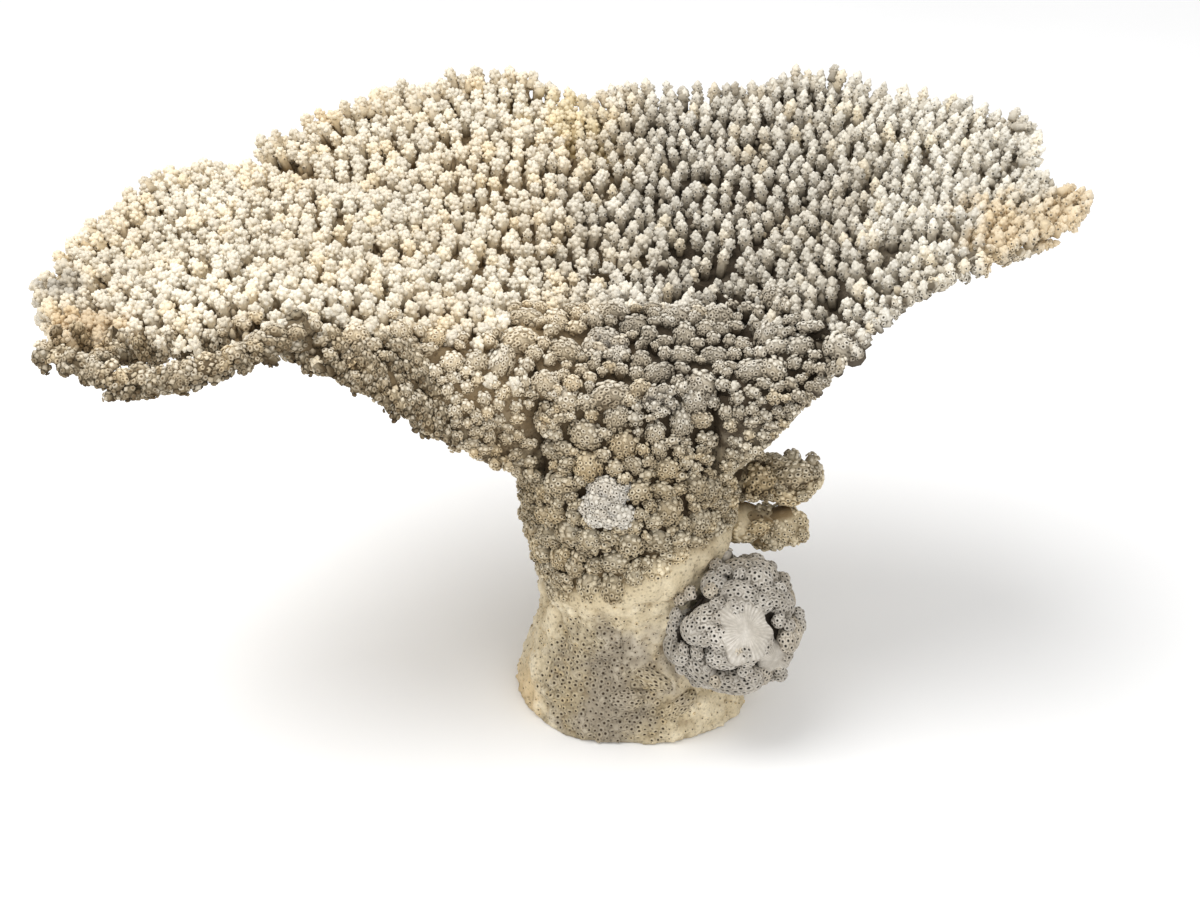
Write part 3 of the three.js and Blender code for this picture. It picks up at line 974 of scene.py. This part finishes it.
def finish_piece(name, node, shapes, material):
    """Makes one mesh object from shapes, with its values as attributes."""
    whole = joined(shapes)
    mesh = bpy.data.meshes.new(name)
    count = len(whole.faces)
    mesh.vertices.add(len(whole.points))
    mesh.vertices.foreach_set("co", (whole.points * MM).astype(np.float32).ravel())
    mesh.loops.add(3 * count)
    mesh.loops.foreach_set("vertex_index", whole.faces.astype(np.int32).ravel())
    mesh.polygons.add(count)
    mesh.polygons.foreach_set("loop_start", np.arange(0, 3 * count, 3, dtype=np.int32))
    mesh.update(calc_edges=True)
    mesh.validate()
    mesh.shade_smooth()
    for column, title in enumerate(VALUES):
        attribute = mesh.attributes.new(title, "FLOAT", "POINT")
        attribute.data.foreach_set("value", whole.values[:, column].astype(np.float32))
    piece = add_object(name, mesh)
    piece.data.materials.append(material)
    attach(piece, "root")
    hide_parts(node)
    print(f"{name}: {count} triangles")


# ---------------- the trunk, the growth and the ledge

JOIN_OVERLAP = 4.0  # the stem's and the foot's bodies each reach this far into the other


def stem_body():
    """The stem's body is set back from its solid: a little on its sides, more on its top, and not at all
    where the foot's smooth skin climbs onto it."""
    points, triangles, normals = remeshed("stem", 2.2)
    behind = ease(CROWN_FRONT - 4, CROWN_FRONT + 4, points[:, 1])
    set_back = mix(KNOB_SET_BACK, SET_BACK, ease(STEEP[0], 0.96, normals[:, 2]) * behind)
    grown_over = ease(-3, 5, near_foot(points))
    bumps = 0.8 * noise(points, 8, 51) + (1 - grown_over) * (billows(points, 6.5, 42) - 1.2)
    points = points + normals * (bumps - set_back * grown_over)[:, None]
    points[:, 2] -= JOIN_OVERLAP * ease(-0.3, -0.8, normals[:, 2])
    return body_of(points, triangles, 0.55 * (1 - grown_over), 0.5)


def billows(points, size, seed):
    """Rounded bumps of two sizes with creases between them, from 0 to about 4 mm high."""
    return 2.5 * np.abs(noise(points, size, seed)) + 1.7 * np.abs(noise(points, size * 0.55, seed + 1))


def side_branch_body(name):
    """A side branch's body, drawn in towards the stem so that it roots in it."""
    points, triangles, normals = remeshed(name, 1.6, smooth=4)
    points = points - normals * 3.5
    points[:, 0] -= 9 * (1 - ease(points[:, 0].min(), points[:, 0].min() + 10, points[:, 0]))
    return body_of(points, triangles, 0.2)


# Shelf-like lumps low on the foot's right front: share of the way across and up the foot, radius, width
FOOT_LUMPS = [(0.58, 0.37, 5.6, 1.5), (0.46, 0.27, 5.0, 1.3), (0.68, 0.22, 5.2, 1.5), (0.80, 0.34, 5.6, 1.3)]
GREY_PATCH = (0.36, 0.0, 0.30)  # the middle of the foot's grey, porous patch, as shares of its box
GREY_REACH = 30.0
FOOT_CRATER_GAP = 1.95


def grey_patch(points):
    """1 in the foot's grey patch, 0 away from it."""
    foot = solids["foot"]
    away = np.linalg.norm(points - mix(foot.low, foot.high, np.array(GREY_PATCH)), axis=1) / GREY_REACH
    return ease(1.2, 0.7, away + 0.25 * noise(points, 11, 45))


def above_cut(places, normals):
    return (places[:, 2] > 1.2) & (normals[:, 2] > -0.8)


def grow_foot(kit):
    """The foot: a creased body cut flat below, with craters all over it and lumps low on its front."""
    rng = kit.rng
    points, triangles, normals = remeshed("foot", 1.5, smooth=4)
    bumps = billows(points, 6.5, 42)
    cut = ease(-0.5, -0.85, normals[:, 2]) * ease(8, 3, points[:, 2])
    points = points + normals * ((bumps + 1.5 * noise(points, 13, 41) - 1.8) * (1 - cut))[:, None]
    points[:, 2] *= 1 - cut
    top = ease(0.3, 0.8, normals[:, 2]) * ease(45, 50, points[:, 2])
    points[:, 2] = np.maximum(points[:, 2] + JOIN_OVERLAP * top, 0)
    patch = grey_patch(points)
    # Height follows the billows: paler on the bumps, the gap colour in the creases, as painted shadow.
    parts = [body_of(points, triangles, 0.2 + 0.26 * bumps, mix(0.3, 0.6, patch), 0.5 * patch)]
    places, facing = scattered(points, triangles, FOOT_CRATER_GAP, rng, above_cut)
    fine, coarse = ([crater(size) for size in sizes] for sizes in ((0.5, 0.65), (0.95, 1.2)))
    for place, normal, grey in zip(places, facing, grey_patch(places)):
        if rng.random() < mix(0.45, 1.0, grey):
            ring = kit.pick(coarse if rng.random() < grey else fine)
            parts.append(ring.tinted(rng.random(), shade=0.5 * grey).placed(place, normal, kit.spin()))
    for across, up, radius, wide in FOOT_LUMPS:
        place, normal = front_of("foot", across, up)
        parts.append(kit.boulder(place + normal * 3.2, normal + 0.2 * UP, radius, 0.4, shade=0.3, wide=wide))
    return parts


# Flat broken patches on the growth: share of the way across and up its front, radius
SCARS = [(0.55, 0.70, 10.0), (0.76, 0.42, 6.5)]
SCAR_RAYS = 38
# Lumps drawn out sideways, low on the growth: share of the way across and up its front, radius
SHELVES = [(0.24, 0.30, 5.2), (0.50, 0.22, 6.6), (0.42, 0.10, 5.2)]


def scar(radius, rng):
    """A flat broken patch with crystals running out from its middle."""
    sides = SCAR_RAYS * 4
    angle = np.arange(sides) * 2 * math.pi / sides
    start = rng.uniform(0, 6)
    outline = 1 + 0.17 * np.sin(2 * angle + start) + 0.1 * np.sin(3 * angle)
    outline += 0.07 * np.sin(7 * angle + start)
    shares = [1.04, 0.92, 0.75, 0.5, 0.25]
    rings = [(radius * 1.1, -5, 0.4, 0)] + [(radius * share, 0, 0.7, 0) for share in shares]
    whole = lathe(rings + [(0, 0.2, 0.7, 0)], sides)
    whole.points[:, :2] *= np.append(np.tile(outline, len(rings)), 1)[:, None]
    for k, share in enumerate(shares):
        rows = slice((k + 1) * sides, (k + 2) * sides)
        ray = np.sin(angle * SCAR_RAYS + rng.uniform(-1.1, 1.1, sides)) * rng.uniform(0.1, 1, sides)
        dish = 1.4 * noise(whole.points[rows] + start * 50, radius * 0.7)
        whole.points[rows, 2] = 0.35 * ray * share + dish - 1.5 * share**3
        # Raised crystal rays are paler and the grooves between them darker: painted shading.
        whole.values[rows, 0] = 0.55 + 0.2 * ray * share
    return whole


def grow_growth(kit):
    """Fused boulders of mixed sizes and depths over a rounded core, round flat broken patches."""
    rng = kit.rng
    name = "rounded_growth"
    solid = solids[name]
    points, triangles, normals = remeshed(name, 2.2, smooth=3)
    # The core has height 0 and takes the gap colour: partly painted shadow between the boulders.
    parts = [body_of(points - normals * 6.5, triangles, 0.0)]
    packing = Packing()
    for across, up, radius in SCARS:
        place, normal = front_of(name, across, up)
        normal = unit(normal + [0, -0.3, 0.3])
        packing.add(place, radius * 0.55)
        parts.append(scar(radius, rng).tinted(0.5, 0.25).placed(place - normal * 1.0, normal))
    for across, up, radius in SHELVES:
        place, normal = front_of(name, across, up)
        packing.add(place, radius * 0.9)
        parts.append(kit.boulder(place, normal + 0.2 * UP, radius, rng.random(), pale=0.1, wide=1.45))
    places, facing = surface_samples(solid.points, solid.faces, 6000, rng)
    radii = rng.choice([2.5, 3.8, 5.2, 6.6], len(places), p=[0.90, 0.04, 0.04, 0.02])
    for k in np.argsort(-radii, kind="stable"):
        place, normal, radius = places[k], facing[k], radii[k]
        if not is_buried(place, normal, name) and packing.take(place, radius * 0.9):
            tip = place - normal * rng.uniform(-0.3, 0.45 * radius)
            axis = normal + rng.normal(0, 0.12, 3)
            parts.append(kit.boulder(tip, axis, radius * 1.02, rng.random(), pale=rng.uniform(0, 0.35)))
    return parts


def ledge_body():
    """The ledge's thin, uneven body."""
    points, triangles, normals = remeshed(LEDGE, 1.3, smooth=4)
    uneven = 2.2 * noise(points, (13, 9, 8), 71) + 1.1 * noise(points, 4.5, 72)
    to_table = solids[LEFT_LIP].distances(points)
    points = points + normals * (mix(-0.6, uneven, ease(1, 7, to_table)) - 2.8)[:, None]
    return body_of(points, triangles, 0.3, shade=LIP_GREY_AND_SHADE)


# ---------------- materials

def srgb(*channels):
    """A display colour from 0 to 255, as Blender's linear colour."""
    return [((c / 255 + 0.055) / 1.055) ** 2.4 if c > 10 else c / 255 / 12.92 for c in channels] + [1.0]


class Nodes:
    """A short way to write a material's node tree."""

    def __init__(self, name):
        self.material = bpy.data.materials.new(name)
        self.material.use_nodes = True
        self.tree = self.material.node_tree
        self.shader = self.tree.nodes["Principled BSDF"]
        self.place = self.make("ShaderNodeTexCoord", {}).outputs["Object"]

    def make(self, kind, given, **settings):
        """A node with these settings; given holds a socket or a plain value for some of its inputs."""
        node = self.tree.nodes.new(kind)
        for key, value in settings.items():
            setattr(node, key, value)
        self.fill(node, given)
        return node

    def fill(self, node, given):
        for key, source in given.items():
            if isinstance(source, bpy.types.NodeSocket):
                self.tree.links.new(source, node.inputs[key])
            else:
                node.inputs[key].default_value = source

    def value(self, name):
        return self.make("ShaderNodeAttribute", {}, attribute_name=name).outputs["Fac"]

    def noise(self, scale, detail=3.0, roughness=0.55):
        given = {"Vector": self.place, "Scale": scale, "Detail": detail, "Roughness": roughness}
        return self.make("ShaderNodeTexNoise", given).outputs["Fac"]

    def ramp(self, source, low, high, out_low=0.0, out_high=1.0):
        given = {"Value": source, "From Min": low, "From Max": high, "To Min": out_low, "To Max": out_high}
        return self.make("ShaderNodeMapRange", given, interpolation_type="SMOOTHSTEP").outputs["Result"]

    def cloud(self, scale, low=0.0, high=1.0):
        """Soft patches between two values."""
        return self.ramp(self.noise(scale), 0.3, 0.7, low, high)

    def maths(self, operation, a, b):
        return self.make("ShaderNodeMath", {0: a, 1: b}, operation=operation).outputs[0]

    def blend(self, share, first, second, mode="MIX"):
        given = {0: share, 6: first, 7: second}
        return self.make("ShaderNodeMix", given, data_type="RGBA", blend_type=mode).outputs[2]

    def multiplied_by(self, share, colour, by):
        """The colour multiplied by another, by this share."""
        return self.blend(share, colour, by, "MULTIPLY")

    def grey(self, brightness):
        given = dict.fromkeys(range(3), brightness)
        return self.make("ShaderNodeCombineColor", given).outputs[0]

    def distance(self, place):
        """How far the surface is from a place, in metres."""
        given = {0: self.place, 1: place}
        return self.make("ShaderNodeVectorMath", given, operation="DISTANCE").outputs["Value"]

    def bump(self, height, strength, depth, invert=False, **more):
        given = {"Height": height, "Strength": strength, "Distance": depth * MM, **more}
        return self.make("ShaderNodeBump", given, invert=invert).outputs["Normal"]


def box_place(across, deep, up):
    """A place given as shares of the CAD box."""
    low, high = cad_box
    return [mix(a, b, t) for a, b, t in zip(low, high, (across, deep, up))]


# The skeleton's colours at its tips and sides, down in its gaps, and in its pores. The gap colour is
# partly its own browner colour, partly painted shadow; the pore colour is painted shadow in the holes.
LEFT = (srgb(240, 232, 215), srgb(220, 205, 177), srgb(138, 119, 90), srgb(112, 93, 68))
# The middle is darker than both sides: painted shadow over the table's middle.
MIDDLE = (srgb(230, 224, 211), srgb(182, 172, 154), srgb(70, 60, 47), srgb(62, 53, 42))
RIGHT = (srgb(240, 235, 223), srgb(218, 210, 194), srgb(112, 102, 86), srgb(74, 65, 54))
TRUNK = (srgb(226, 216, 193), srgb(188, 172, 142), srgb(66, 53, 36), srgb(66, 54, 38))
FOOT = (srgb(234, 222, 195), srgb(216, 202, 172), srgb(146, 126, 94), srgb(60, 48, 35))
GROWTH = (srgb(221, 215, 205), srgb(174, 166, 153), srgb(50, 42, 33), srgb(32, 27, 22))
# Patches of other colour: place as shares of the CAD box, radius in metres, colour, strength
STAINS = [
    ((0.50, 0.90, 0.86), 0.022, srgb(224, 202, 146), 0.45),
    ((0.95, 0.32, 0.95), 0.032, srgb(216, 193, 154), 0.7),
    ((0.06, 0.18, 0.77), 0.020, srgb(200, 170, 124), 0.6),
    ((0.03, 0.33, 0.80), 0.014, srgb(142, 139, 134), 0.6),
    ((0.54, 0.12, 0.11), 0.032, srgb(166, 156, 142), 0.7),
    ((0.46, 0.30, 0.02), 0.020, srgb(222, 194, 146), 0.6),
]


FOOT_CLIMB = 0.3  # how steeply the foot's colour climbs to the right


def zone_colours(n):
    """The four colours at each place: they change from left to right, darker across the middle as painted
    shadow, down the trunk and down to the foot.
    """
    x, y, z = n.make("ShaderNodeSeparateXYZ", {0: n.place}).outputs
    wander = n.cloud(24, -0.012, 0.012)
    across = n.maths("ADD", x, wander)
    to_middle = n.ramp(across, -0.045, 0.015)
    to_right = n.ramp(across, 0.060, 0.105)
    off_axis = n.maths("SQRT", n.maths("ADD", n.maths("POWER", x, 2), n.maths("POWER", y, 2)), 0)
    low_down = n.ramp(n.maths("ADD", z, wander), 0.165, 0.105)
    to_trunk = n.maths("MULTIPLY", low_down, n.ramp(off_axis, 0.095, 0.055))
    climbing = n.maths("SUBTRACT", z, n.maths("MULTIPLY", x, FOOT_CLIMB))
    to_foot = n.ramp(n.maths("ADD", climbing, wander), 0.084, 0.066)
    made = []
    for left, middle, right, trunk, foot in zip(LEFT, MIDDLE, RIGHT, TRUNK, FOOT):
        colour = n.blend(to_right, n.blend(to_middle, left, middle), right)
        colour = n.blend(to_trunk, colour, trunk)
        made.append(n.blend(to_foot, colour, foot))
    return made


PORE_SCALE = 620  # pores of the bare skeleton, per metre
# What multiplies the colour of the warmest branchlets and of greyer growth (partly painted shading),
# and what pale lumps turn to
WARM, GREY_AND_SHADE_TINT, BLEACHED = srgb(247, 236, 212), srgb(156, 151, 142), srgb(222, 220, 215)


def skeleton(name, colours=None, roughness=0.86):
    """Chalky porous skeleton: pale at the tips, darker and warmer down in the gaps, partly as painted shadow,
    and dark in the pores as painted shadow.
    """
    n = Nodes(name)
    tip, side, deep, pore = colours or zone_colours(n)
    height, tone, shade = n.value("height"), n.value("tone"), n.value("shade")
    mottled_and_shaded = n.maths("ADD", height, n.cloud(170, -0.1, 0.1))
    # Greyer growth is also darker: partly its own grey colour, partly painted shading.
    mottled_and_shaded = n.maths("SUBTRACT", mottled_and_shaded, n.maths("MULTIPLY", shade, 0.12))
    # From the gap colour at low height values to the tip colour at high ones: partly bleached tips, partly
    # painted shadow down between the growths.
    colour = n.blend(n.ramp(mottled_and_shaded, 0.02, 0.42), deep, side)
    colour = n.blend(n.ramp(mottled_and_shaded, 0.38, 0.9), colour, tip)
    colour = n.multiplied_by(n.ramp(n.noise(30, 4.0), 0.35, 0.7, 0.0, 0.35), colour, side)
    colour = n.multiplied_by(1.0, colour, n.grey(n.ramp(tone, 0.0, 1.0, 0.86, 1.06)))
    colour = n.multiplied_by(n.ramp(tone, 0.75, 1.0, 0.0, 0.5), colour, WARM)
    colour = n.multiplied_by(1.0, colour, n.grey(n.ramp(n.noise(950, 2.0), 0.35, 0.65, 0.91, 1.05)))
    if colours is None:
        fringe = n.cloud(60, -0.4, 0.4)
        for shares, radius, tint, strength in STAINS:
            reached = n.maths("ADD", n.maths("DIVIDE", n.distance(box_place(*shares)), radius), fringe)
            colour = n.blend(n.ramp(reached, 1.1, 0.4, 0.0, strength), colour, tint)
    # Greyer growth is multiplied by a grey, less towards its tips: partly its own grey colour, partly painted
    # shading.
    colour = n.multiplied_by(n.maths("MULTIPLY", shade, n.ramp(height, 0.4, 0.95, 1.0, 0.3)), colour, GREY_AND_SHADE_TINT)
    colour = n.blend(n.ramp(n.value("pale"), 0.0, 1.0, 0.0, 0.65), colour, BLEACHED)
    # Dark pores in the cups and as dots over bare skeleton: painted shadow in the holes.
    holes = n.make("ShaderNodeTexVoronoi", {"Vector": n.place, "Scale": PORE_SCALE})
    hole = n.maths("MULTIPLY", n.ramp(holes.outputs["Distance"], 0.36, 0.22), n.value("bare"))
    cupped = n.ramp(n.value("pore"), 0.22, 0.62)
    colour = n.blend(n.maths("MAXIMUM", cupped, n.maths("MULTIPLY", hole, 0.75)), colour, pore)
    pits = n.bump(hole, 0.6, 0.5, invert=True)
    grain = n.bump(n.noise(1500, 3.0, 0.65), 0.5, 0.3, Normal=pits)
    rough = n.cloud(500, roughness - 0.07, roughness + 0.07)
    n.fill(n.shader, {"Base Color": colour, "Roughness": rough, "Specular IOR Level": 0.25, "Normal": grain})
    return n.material


SLOTS = {
    "cream_skeleton": skeleton("cream_coral"),
    "grey_skeleton": skeleton("grey_coral"),
    "tan_skeleton": skeleton("tan_coral", roughness=0.9),
    "pale_growth": skeleton("pale_coral", GROWTH, roughness=0.82),
}
slot_of = {part["node"]: part["material_slot"] for part in frame["record"]["subparts"]}

SPROUTS = [nub(1.1, 3.0, height) for height in (0.02, 0.12, 0.25)]  # small buds between the branchlets

# Buds and cups under the table round the stem, fewer further out: gap, and the span they lie in
COLLAR = [(3.3, (0.02, 0.10)), (4.2, (0.08, 0.15)), (6.0, (0.13, 0.24))]
COLLAR_BUDS = [nub(2.1, 3.4, 0.0, 6), cup(1.4, 2.0, 0.12, 6), cup(1.6, 1.5, 0.2, 6)]

kit = Kit(np.random.default_rng(SEED))
upper_grid, lower_grid, owner_grid = table_grid()
growing = grow_cover(kit)
spread(growing, lower_grid, owner_grid, -1, 4.6, 12000, [crater(0.8)], (0.75, 1.2), kit)
spread(growing, upper_grid, owner_grid, 1, 3.7, 16000, SPROUTS, (0.8, 1.5), kit)
for k, name in enumerate(FRONDS):
    growing[name].append(slab(k, upper_grid, lower_grid, owner_grid))
growing["stem"].append(stem_body())
for name in SIDE_BRANCHES:
    growing[name].append(side_branch_body(name))
growing["foot"] = grow_foot(kit)
growing["rounded_growth"] = grow_growth(kit)
growing[LEDGE].append(ledge_body())
for gap, span in COLLAR:
    under = (lower_grid, owner_grid, -1, gap)
    spread(growing, *under, 2000, COLLAR_BUDS, (0.7, 1.4), kit, span, CROWN_FRONT + 4)
for node, shapes in growing.items():
    slot = slot_of[node]
    finish_piece(node + "_coral", node, shapes, SLOTS[slot])


# ---------------- floor, lights and camera

FLOOR_DROP = 0.5  # the floor lies just under the cut foot, so that their faces don't coincide


def stage_floor():
    bpy.ops.mesh.primitive_plane_add(size=12, location=(0, 0, -FLOOR_DROP * MM))
    floor = bpy.context.object
    floor.name = "floor"
    n = Nodes("floor")
    cloudy = n.blend(n.cloud(3), srgb(250, 250, 250), srgb(253, 253, 253))
    n.fill(n.shader, {"Base Color": cloudy, "Roughness": 0.9})
    floor.data.materials.append(n.material)


def stand_at(thing, place, aim):
    """Puts a light or a camera at a place, looking at another."""
    thing.location = place
    thing.rotation_euler = (aim - place).to_track_quat("-Z", "Y").to_euler()


def area_light(name, place, aim, size, power):
    data = bpy.data.lights.new(name, "AREA")
    data.shape = "DISK"
    data.size = size
    data.energy = power
    stand_at(add_object(name, data), Vector(place), Vector(aim))


CAMERA_DISTANCE = 0.760
CAMERA_ELEVATION = math.radians(28)
CAMERA_LENS = 60.66
CAMERA_AIM = Vector((-0.0136, 0, cad_box[1][2] * 0.4955))
# Each light's name, place, aim, width and power in watts
LIGHTS = [
    ("key", (-0.5, -0.1, 1.5), (0, 0, 0.15), 1.3, 17.6),
    ("fill", (0.4, -1.4, 0.7), (0, 0, 0.1), 1.4, 7.2),
]
WORLD_STRENGTH = 0.72

stage_floor()
for light in LIGHTS:
    area_light(*light)
camera = add_object("camera", bpy.data.cameras.new("camera"))
camera.data.lens = CAMERA_LENS
camera.data.clip_start = 0.01
away = Vector((0, -math.cos(CAMERA_ELEVATION), math.sin(CAMERA_ELEVATION)))
stand_at(camera, CAMERA_AIM + CAMERA_DISTANCE * away, CAMERA_AIM)
bpy.context.scene.camera = camera
world = bpy.data.worlds.new("studio")
bpy.context.scene.world = world
world.use_nodes = True
background = world.node_tree.nodes["Background"]
background.inputs["Color"].default_value = (1, 1, 1, 1)
background.inputs["Strength"].default_value = WORLD_STRENGTH
bpy.context.scene.view_settings.view_transform = "Standard"
